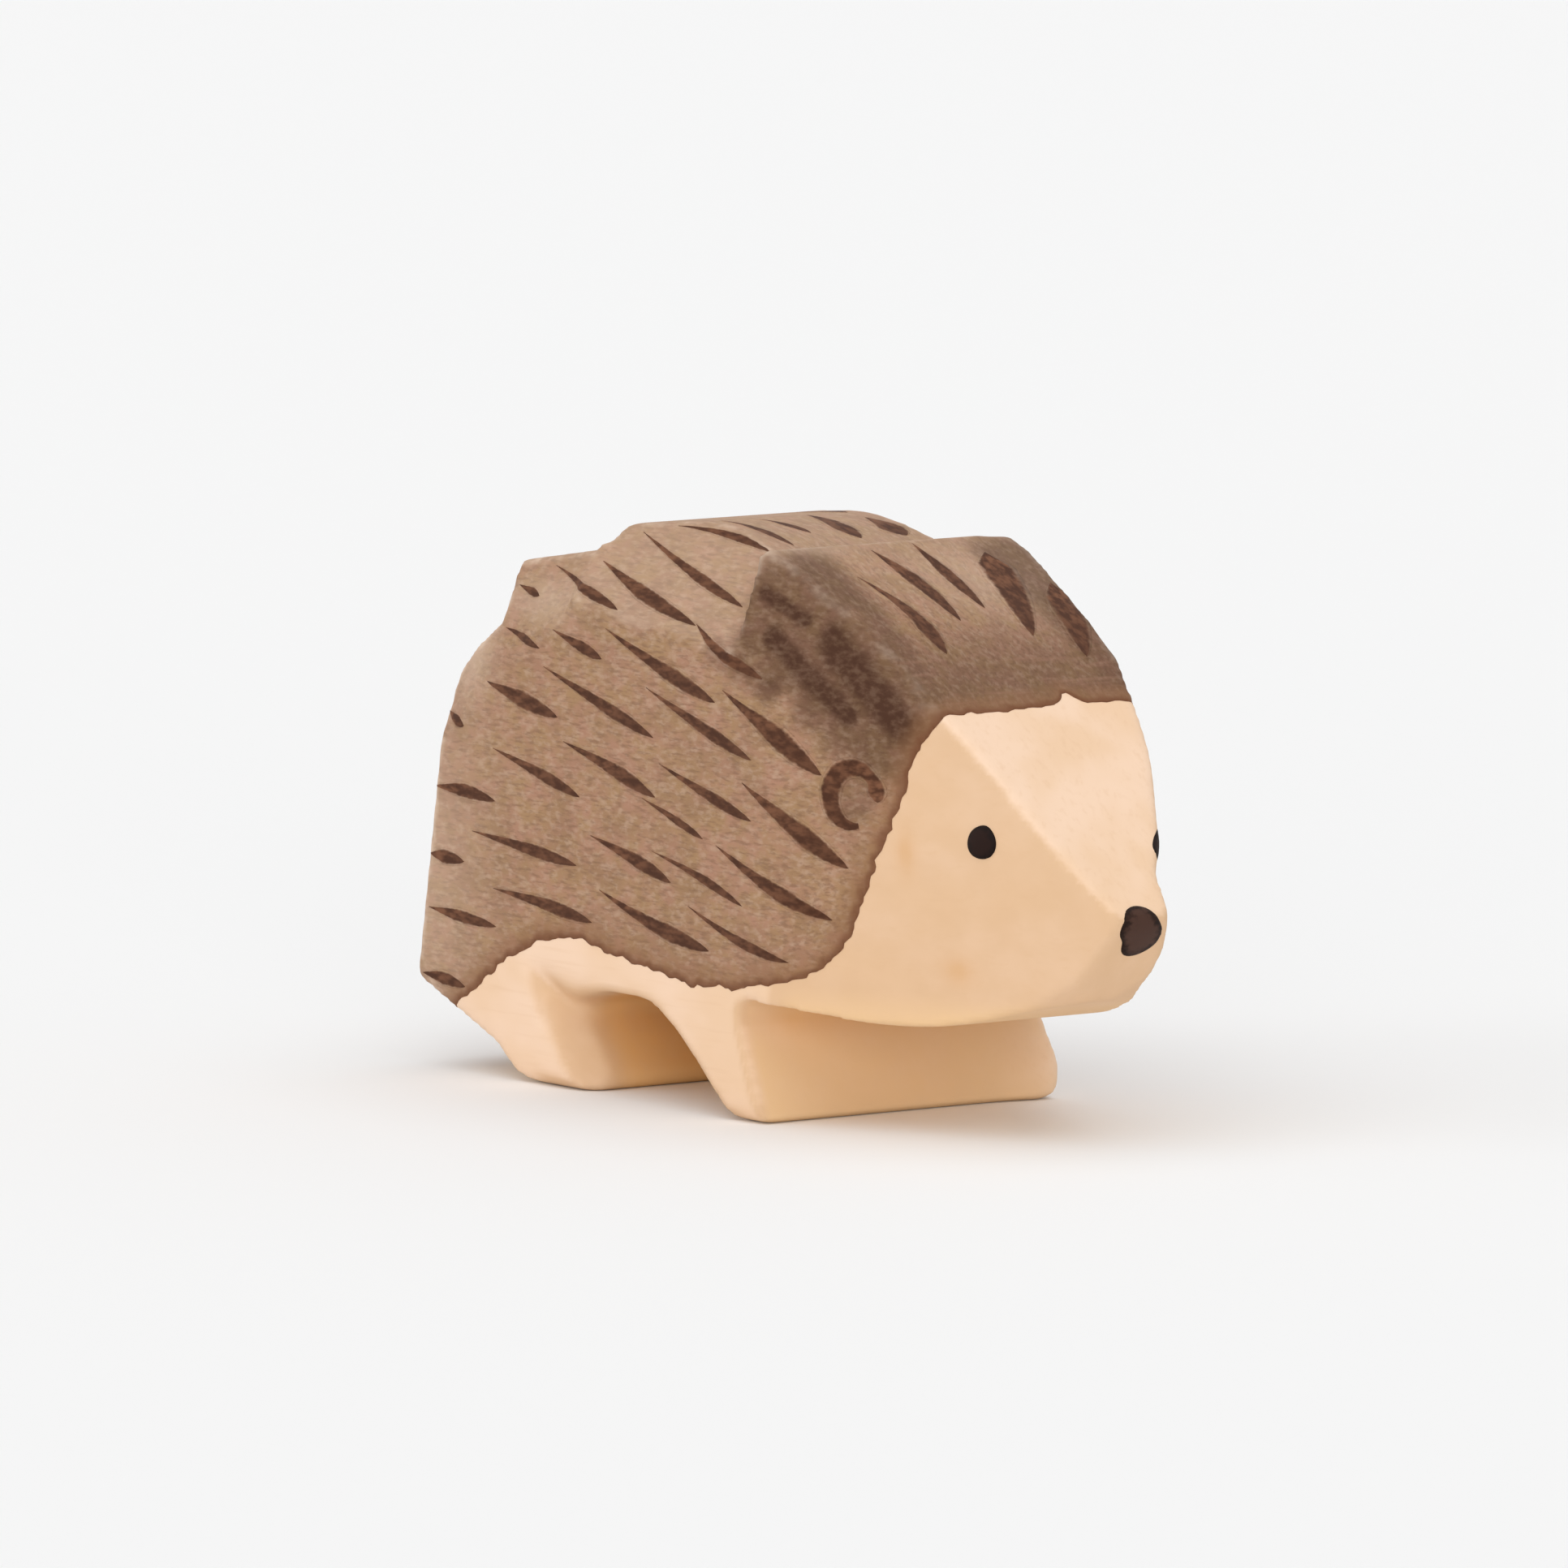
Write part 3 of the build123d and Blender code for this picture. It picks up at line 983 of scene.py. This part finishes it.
@dataclass(frozen=True)
class Mark:
    """One brush mark on the plane that faces the brush: its ends, width and widest place."""

    start: Pair
    end: Pair
    width: float = 1.0
    belly: float = 0.62
    bow: float = 0.0
    start_power: float = 0.85
    end_power: float = 0.7

    def length(self) -> float:
        """Millimetres from end to end."""
        return math.dist(self.start, self.end)

    def half_width(self, along: Array) -> Array:
        """Half the width: a long pointed start, a belly and a short end.

        Args:
            along: shares of the length.

        Returns:
            Millimetres.
        """
        rise = np.clip(along / self.belly, 0, 1) ** self.start_power
        fall = np.clip((along - self.belly) / (1 - self.belly), 0, 1)
        return self.width / 2 * rise * (1 - fall**2) ** self.end_power

    def middle(self, along: Array) -> tuple[Array, Array]:
        """The mark's middle line.

        Args:
            along: shares of the length.

        Returns:
            Places on the plane and the directions across, one row each.
        """
        start, run = np.array(self.start), np.subtract(self.end, self.start)
        side = np.array([-run[1], run[0]]) / np.hypot(*run)
        sides = np.tile(side, (len(along), 1))
        return start + run * along[:, None] + sides * self.bow * np.sin(np.pi * along)[:, None], sides

    def moved(self, chance: random.Random, amount: float) -> "Mark":
        """The same mark by a less exact hand."""
        ends = [tuple(c + chance.uniform(-amount, amount) for c in end) for end in (self.start, self.end)]
        return replace(self, start=ends[0], end=ends[1])


@dataclass(frozen=True)
class RingMark(Mark):
    """An open ring drawn in one stroke: a dab in front, over the top, down the back."""

    radii: Pair = (1.7, 1.95)
    first_angle: float = -8.0
    last_angle: float = 282.0
    blunt_start: float = 0.05
    halves: tuple[Pair, ...] = (
        (0.0, 0.55), (0.09, 0.6), (0.17, 0.42), (0.36, 0.6), (0.6, 0.72), (0.8, 0.55), (1.0, 0.2),
    )

    def half_width(self, along: Array) -> Array:
        """Half the width, from the dab to the thin tail."""
        blunt = np.sqrt(np.clip(along / self.blunt_start, 0, 1))
        return blunt * np.interp(along, *zip(*self.halves))

    def middle(self, along: Array) -> tuple[Array, Array]:
        """The ring's middle line, around the mark's start.

        Args:
            along: shares of the length.

        Returns:
            Places on the plane and the directions across, one row each.
        """
        angle = np.radians(self.first_angle + (self.last_angle - self.first_angle) * along)
        side = np.stack([np.cos(angle), np.sin(angle)], axis=1)
        return np.array(self.start) + side * np.array(self.radii), -side


@dataclass
class BrushMarks:
    """Marks that are laid flat before the wood and pressed onto it."""

    name: str
    node: str
    aim: Aim
    marks: tuple[Mark, ...]
    seed: int
    hand: float = 0.0
    along: int = 40
    across: int = 8
    margin: float = 1.2
    least_half: float = 0.02
    ragged: float = 0.07
    ragged_period: float = 0.9
    bow: float = 0.025
    seed_step: int = 101
    paint: float = 0.06
    film: float = 0.1
    clear: float = 60.0

    def build(self, body: Object, coat: QuillCoat) -> Object:
        """Lays the marks, presses them on and gives them the paint's thickness.

        Args:
            body: the wooden body.
            coat: the stain under the marks.

        Returns:
            All the marks as one piece.
        """
        piece = join([self.lay(mark, index) for index, mark in enumerate(self.marks)], self.name)
        axis, sign = self.aim.value
        ways = {f"use_project_{letter}": letter == axis for letter in AXES}
        ways |= {"use_positive_direction": sign > 0, "use_negative_direction": sign < 0}
        settings = {"target": body, "wrap_method": "PROJECT", "wrap_mode": "ABOVE_SURFACE"}
        apply_modifier(piece, "SHRINKWRAP", offset=self.paint * METRES_PER_MM, **settings, **ways)
        if sign * sum(face.normal[AXES.index(axis)] * face.area for face in piece.data.polygons) > 0:
            edit_all(piece, bpy.ops.mesh.flip_normals)
        self.borrow_wear(piece, body)
        coat.keep_tones(piece)
        apply_modifier(piece, "SOLIDIFY", thickness=self.film * METRES_PER_MM, offset=-1)
        return piece

    def lay(self, mark: Mark, index: int) -> Object:
        """One mark: a strip of the brush's width, bowed a little, with ragged edges.

        Args:
            mark: place and shape of the mark.
            index: number of the mark, which seeds its wobble.

        Returns:
            The strip, before the wood.
        """
        chance = random.Random(self.seed * self.seed_step + index)
        mark = mark.moved(chance, self.hand)
        mark = replace(mark, bow=mark.bow + chance.uniform(-self.bow, self.bow) * mark.length())
        divisions = {"x_subdivisions": self.along, "y_subdivisions": self.across}
        strip, grid = add_shape(bpy.ops.mesh.primitive_grid_add, size=2, **divisions)
        # The grid runs from -1 to 1 both ways
        along, over = (grid[:, 0] + 1) / 2, grid[:, 1]
        edge = np.stack([along * mark.length(), np.sign(over), np.full(len(grid), float(index))], axis=1)
        ragged = 1 + Wobble(self.ragged, self.ragged_period, self.seed).at(edge)
        half = np.maximum(self.margin * ragged * mark.half_width(along), self.least_half)
        middle, side = mark.middle(along)
        flat = middle + side * (over * half)[:, None]
        axis, sign = self.aim.value
        columns = list(flat.T)
        columns.insert(AXES.index(axis), np.full(len(flat), -sign * self.clear))
        move_points(strip, np.stack(columns, axis=1))
        keep_numbers(strip, cover=1 - over**2, load=along)
        return strip

    def borrow_wear(self, piece: Object, body: Object) -> None:
        """Copies the wear of the wood under each point of the marks.

        Args:
            piece: the marks.
            body: the wooden body.
        """
        tree = KDTree(len(body.data.vertices))
        for index, vertex in enumerate(body.data.vertices):
            tree.insert(vertex.co, index)
        tree.balance()
        wear = body.data.attributes["worn"].data
        keep_numbers(piece, worn=np.array([wear[tree.find(v.co)[1]].value for v in piece.data.vertices]))


@dataclass
class QuillPaint:
    """All the quills: dashes on the sides and the back, fanned down towards the head, and the ears."""

    sides: tuple[Mark, ...] = (
        Mark((-23.4, 33.7), (-20.5, 33.2), 0.6), Mark((-19.6, 35.3), (-9.8, 33.2), 0.6),
        Mark((-14.3, 36.0), (-1.5, 32.8), 0.8, 0.45), Mark((-1.5, 32.9), (6.3, 29.9), 0.8),
        Mark((-12.5, 38.0), (1.6, 34.2), 0.6), Mark((-23.8, 30.8), (-18.5, 29.9), 0.6),
        Mark((-16.9, 31.3), (-11.2, 29.8), 0.9), Mark((-10.7, 31.9), (1.9, 28.0), 1.2),
        Mark((-24.8, 27.1), (-16.4, 25.4), 1.25, 0.5), Mark((-18.0, 28.7), (-5.2, 25.0), 1.0),
        Mark((-6.0, 28.3), (6.0, 24.5), 1.0), Mark((2.8, 28.9), (12.4, 24.0), 1.5),
        Mark((-30.0, 24.6), (-27.5, 23.8), 0.8), Mark((-24.0, 22.6), (-13.8, 20.2), 0.95),
        Mark((-15.7, 23.8), (-5.0, 21.0), 1.1), Mark((-6.5, 20.8), (0.5, 18.7), 0.65),
        Mark((-4.5, 23.3), (6.0, 20.4), 0.9), Mark((5.0, 22.9), (14.3, 17.9), 1.45),
        Mark((-31.0, 19.4), (-23.8, 19.0), 1.0, 0.45), Mark((-26.5, 16.7), (-14.2, 15.5), 0.95),
        Mark((-31.6, 14.7), (-27.5, 14.5), 1.0, 0.4), Mark((-12.5, 17.7), (-3.2, 15.4), 1.05),
        Mark((-5.3, 17.3), (5.0, 14.6), 0.7), Mark((2.0, 18.4), (12.8, 14.3), 1.15),
        Mark((-24.0, 13.0), (-12.4, 11.8), 1.0), Mark((-31.7, 11.0), (-23.7, 10.4), 0.9, 0.45),
        Mark((-11.5, 14.1), (1.2, 11.2), 1.2), Mark((-1.2, 14.0), (9.4, 11.2), 0.8),
        Mark((-32.5, 6.4), (-27.4, 5.9), 0.9, 0.45),
    )
    top: tuple[Mark, ...] = (
        Mark((-9.7, -7.2), (0.5, -6.9), 0.45), Mark((-7.3, -5.4), (-0.1, -4.6), 0.8),
        Mark((-6.6, -2.7), (-2.0, -1.8), 0.8), Mark((-7.0, 1.5), (-0.5, 1.3), 1.6),
        Mark((-4.6, 4.6), (-0.4, 5.0), 2.0), Mark((5.2, -2.0), (13.5, -0.7), 1.4, 0.4, 0.5),
        Mark((4.7, 1.7), (12.4, 2.1), 1.2, 0.45, 0.2), Mark((8.0, -5.2), (16.4, -4.0), 1.4, 0.7, 0.6),
        Mark((6.3, 6.6), (15.4, 3.9), 2.4, 0.17), Mark((10.2, 9.2), (17.5, 6.8), 2.2, 0.26),
        Mark((-23.0, -5.0), (-16.5, -4.4), 1.2), Mark((-23.5, 0.4), (-16.0, 0.0), 1.3),
        Mark((-22.8, 5.4), (-16.8, 4.8), 1.2), Mark((-12.5, 4.6), (-7.0, 4.8), 1.5),
    )
    rump: tuple[Mark, ...] = (
        Mark((-6.0, 24.0), (-6.6, 16.5), 1.2), Mark((0.4, 24.6), (0.0, 16.0), 1.2),
        Mark((6.2, 23.6), (6.6, 16.8), 1.2), Mark((-3.2, 15.6), (-3.6, 8.2), 1.2),
        Mark((3.0, 15.2), (3.4, 7.8), 1.2), Mark((-8.6, 13.8), (-9.2, 8.0), 1.1),
        Mark((8.6, 14.2), (9.2, 8.4), 1.1),
    )
    ear: RingMark = RingMark((14.8, 22.7), (14.8, 20.7))
    ear_along: int = 80
    left_hand: float = 0.7

    def build(self, body: Object, coat: QuillCoat, paint: Finish) -> list[Object]:
        """Paints every side and dresses the marks.

        Args:
            body: the wooden body.
            coat: the stain under the marks.
            paint: finish of the marks.

        Returns:
            One piece for each group of marks.
        """
        right, left, above, behind = Aim.FROM_RIGHT, Aim.FROM_LEFT, Aim.FROM_ABOVE, Aim.FROM_BEHIND
        groups = (
            BrushMarks("quill_marks_right", "quill_strokes_right", right, self.sides, 1),
            BrushMarks("quill_marks_left", "quill_strokes_left", left, self.sides, 2, self.left_hand),
            BrushMarks("quill_marks_top", "quill_strokes_back", above, self.top, 3),
            BrushMarks("quill_marks_rump", "quill_strokes_back", behind, self.rump, 4),
            BrushMarks("ear_ring_right", "right_ear_mark", right, (self.ear,), 5, along=self.ear_along),
            BrushMarks("ear_ring_left", "left_ear_mark", left, (self.ear,), 6, along=self.ear_along),
        )
        material = paint.material()
        return [dress(group.build(body, coat), Slot.QUILL_PAINT, material, group.node) for group in groups]


@dataclass(frozen=True)
class Lobe:
    """A way in which a dab's outline is drawn out, or in where the amount is negative."""

    degrees: float
    amount: float
    sharpness: int


@dataclass(frozen=True)
class PaintDab:
    """A dab of thick paint where the CAD dab is: a ball pressed flat on the wood."""

    name: str
    node: str
    facing: Triple
    width: float
    height: float
    dome: float
    lobes: tuple[Lobe, ...]
    shift: Triple = (0.0, 0.0, 0.0)
    clear: float = 0.5
    segments: int = 48
    rings: int = 24

    def build(self, body: Object) -> Object:
        """Lays a flattened ball on the wood and draws its outline out into lobes.

        Args:
            body: the wooden body.

        Returns:
            The dab.
        """
        divisions = {"segments": self.segments, "ring_count": self.rings}
        dab, ball = add_shape(bpy.ops.mesh.primitive_uv_sphere_add, radius=1, **divisions)
        dab.name = self.name
        angle = np.arctan2(ball[:, 1], ball[:, 0])
        reach = np.ones(len(ball))
        for lobe in self.lobes:
            reach += lobe.amount * np.clip(np.cos(angle - math.radians(lobe.degrees)), 0, 1) ** lobe.sharpness
        low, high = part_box(self.node)
        centre = (Vector(low) + Vector(high)) / 2 + Vector(self.shift) * METRES_PER_MM
        facing = Vector(self.facing).normalized()
        across = Vector((0, 0, 1)).cross(facing).normalized()
        upward = facing.cross(across)
        places = []
        for (right, up, out), size in zip(ball, reach):
            aside = across * (right * size * self.width / 2) + upward * (up * size * self.height / 2)
            start = centre + (aside + facing * self.clear) * METRES_PER_MM
            _, seat, normal, _ = body.closest_point_on_mesh(start)
            places.append((seat / METRES_PER_MM) + normal * (out * self.dome))
        move_points(dab, np.array(places))
        keep_numbers(dab, edge=np.hypot(ball[:, 0], ball[:, 1]) ** 2)
        edit_all(dab, bpy.ops.mesh.normals_make_consistent, inside=False)
        return dab


@dataclass
class Face:
    """Two eyes and a nose in thick dark paint."""

    right_eye: PaintDab = PaintDab(
        "eye_right", "right_eye", (0.402, -0.916, 0.0), 2.15, 2.25, 0.3,
        (Lobe(72.0, 0.08, 10), Lobe(215.0, 0.06, 4)),
    )
    left_eye: PaintDab = PaintDab(
        "eye_left", "left_eye", (0.8, 0.55, 0.3), 2.6, 2.2, 0.08,
        (Lobe(190.0, 0.42, 4), Lobe(72.0, 0.08, 10)), (1.3, -0.5, -0.7),
    )
    nose: PaintDab = PaintDab(
        "nose_dab", "nose", (1.0, 0.0, 0.0), 4.04, 5.6, 0.28,
        (Lobe(50.0, -0.34, 2), Lobe(210.0, -0.3, 6)), (0.0, 0.3, -0.6),
    )
    eye_paint: DarkPaint = DarkPaint()
    nose_paint: DarkPaint = DarkPaint("dark_brown_acrylic", ground="#4a332a", edge="#22130d")

    def build(self, body: Object) -> list[Object]:
        """Lays and dresses the dabs.

        Args:
            body: the wooden body.

        Returns:
            The eyes and the nose.
        """
        black, brown = self.eye_paint.material(), self.nose_paint.material()
        dabs = ((self.right_eye, black), (self.left_eye, black), (self.nose, brown))
        return [dress(dab.build(body), Slot.DARK_PAINT, paint, dab.node) for dab, paint in dabs]


@dataclass
class PhotoCamera:
    """The camera where the photograph was taken from."""

    azimuth: float = 54.19
    elevation: float = 6.46
    distance: float = 1200.0
    aim: Triple = (1.45, 0.0, 19.5)
    slide: Pair = (-5.275, 2.135)
    lens: float = 409.5
    sensor: float = 36.0

    def build(self) -> None:
        """Adds the camera and makes it the scene's."""
        turn, rise = math.radians(self.azimuth), math.radians(self.elevation)
        level = math.cos(rise)
        back = Vector((math.sin(turn) * level, -math.cos(turn) * level, math.sin(rise)))
        right = Vector((math.cos(turn), math.sin(turn), 0))
        up = back.cross(right)
        offset = back * self.distance + right * self.slide[0] + up * self.slide[1]
        place = Vector(self.aim) * METRES_PER_MM + offset * METRES_PER_MM
        camera = bpy.data.objects.new("photo_camera", bpy.data.cameras.new("photo_camera"))
        camera.data.lens = self.lens
        camera.data.sensor_width = self.sensor
        camera.matrix_world = Matrix.Translation(place) @ Matrix((right, up, back)).transposed().to_4x4()
        bpy.context.scene.collection.objects.link(camera)
        bpy.context.scene.camera = camera


@dataclass(frozen=True)
class Lamp:
    """A distant soft lamp: the way to it, its light and its width in degrees."""

    name: str
    toward: Triple
    strength: float
    width: float

    def build(self) -> None:
        """Adds the lamp."""
        data = bpy.data.lights.new(self.name, "SUN")
        data.energy = self.strength
        data.angle = math.radians(self.width)
        lamp = bpy.data.objects.new(self.name, data)
        lamp.rotation_euler = Vector(self.toward).to_track_quat("Z", "Y").to_euler()
        bpy.context.scene.collection.objects.link(lamp)


@dataclass
class Studio:
    """Pale floor, white backdrop and soft light from above, the left and the front."""

    floor_size: float = 12.0
    card: WhiteCard = WhiteCard()
    sky: str = "#ffffff"
    ambient: float = 0.5
    lamps: tuple[Lamp, ...] = (
        Lamp("key", (-0.45, -0.87, 0.2), 0.46, 35.0),
        Lamp("overhead", (0.1, -0.1, 1.0), 1.22, 80.0),
        Lamp("fill", (0.81, -0.58, 0.11), 1.15, 40.0),
    )

    def build(self) -> None:
        """Adds floor, lamps and world."""
        floor, _ = add_shape(bpy.ops.mesh.primitive_plane_add, size=self.floor_size)
        floor.name = "floor"
        floor.data.materials.append(self.card.material())
        for lamp in self.lamps:
            lamp.build()
        self.backdrop()

    def backdrop(self) -> None:
        """Adds the world: white to the eye and in gloss, dimmer as a light."""
        world = bpy.data.worlds.new("studio")
        bpy.context.scene.world = world
        world.use_nodes = True
        tree = world.node_tree
        tree.nodes.clear()
        path = add_node(tree, "LightPath").outputs
        seen = path["Is Camera Ray"]
        for ray in ("Is Glossy Ray", "Is Transmission Ray"):
            seen = add_node(tree, "Math", {0: seen, 1: path[ray]}, operation="ADD").outputs[0]
        inputs = {"Value": seen, "To Min": self.ambient, "To Max": 1.0}
        strength = add_node(tree, "MapRange", inputs).outputs["Result"]
        inputs = {"Color": linear(self.sky), "Strength": strength}
        light = add_node(tree, "Background", inputs)
        add_node(tree, "OutputWorld", {"Surface": light.outputs["Background"]})


def main() -> None:
    """Builds and dresses the hedgehog, then the studio around it."""
    logging.basicConfig(level=logging.INFO, format="%(message)s")
    bpy.context.scene.view_settings.view_transform = "Standard"
    stain, coat = BrownStain(), QuillCoat()
    body = CarvedFigure().build(SandedLime())
    pieces = [body, coat.build(body, stain)]
    pieces += QuillPaint().build(body, coat, BrushedUmber(stain=stain))
    pieces += Face().build(body)
    for piece in pieces:
        log.info("%s: %d faces", piece.name, len(piece.data.polygons))
    PhotoCamera().build()
    Studio().build()


if __name__ == "__main__":
    main()
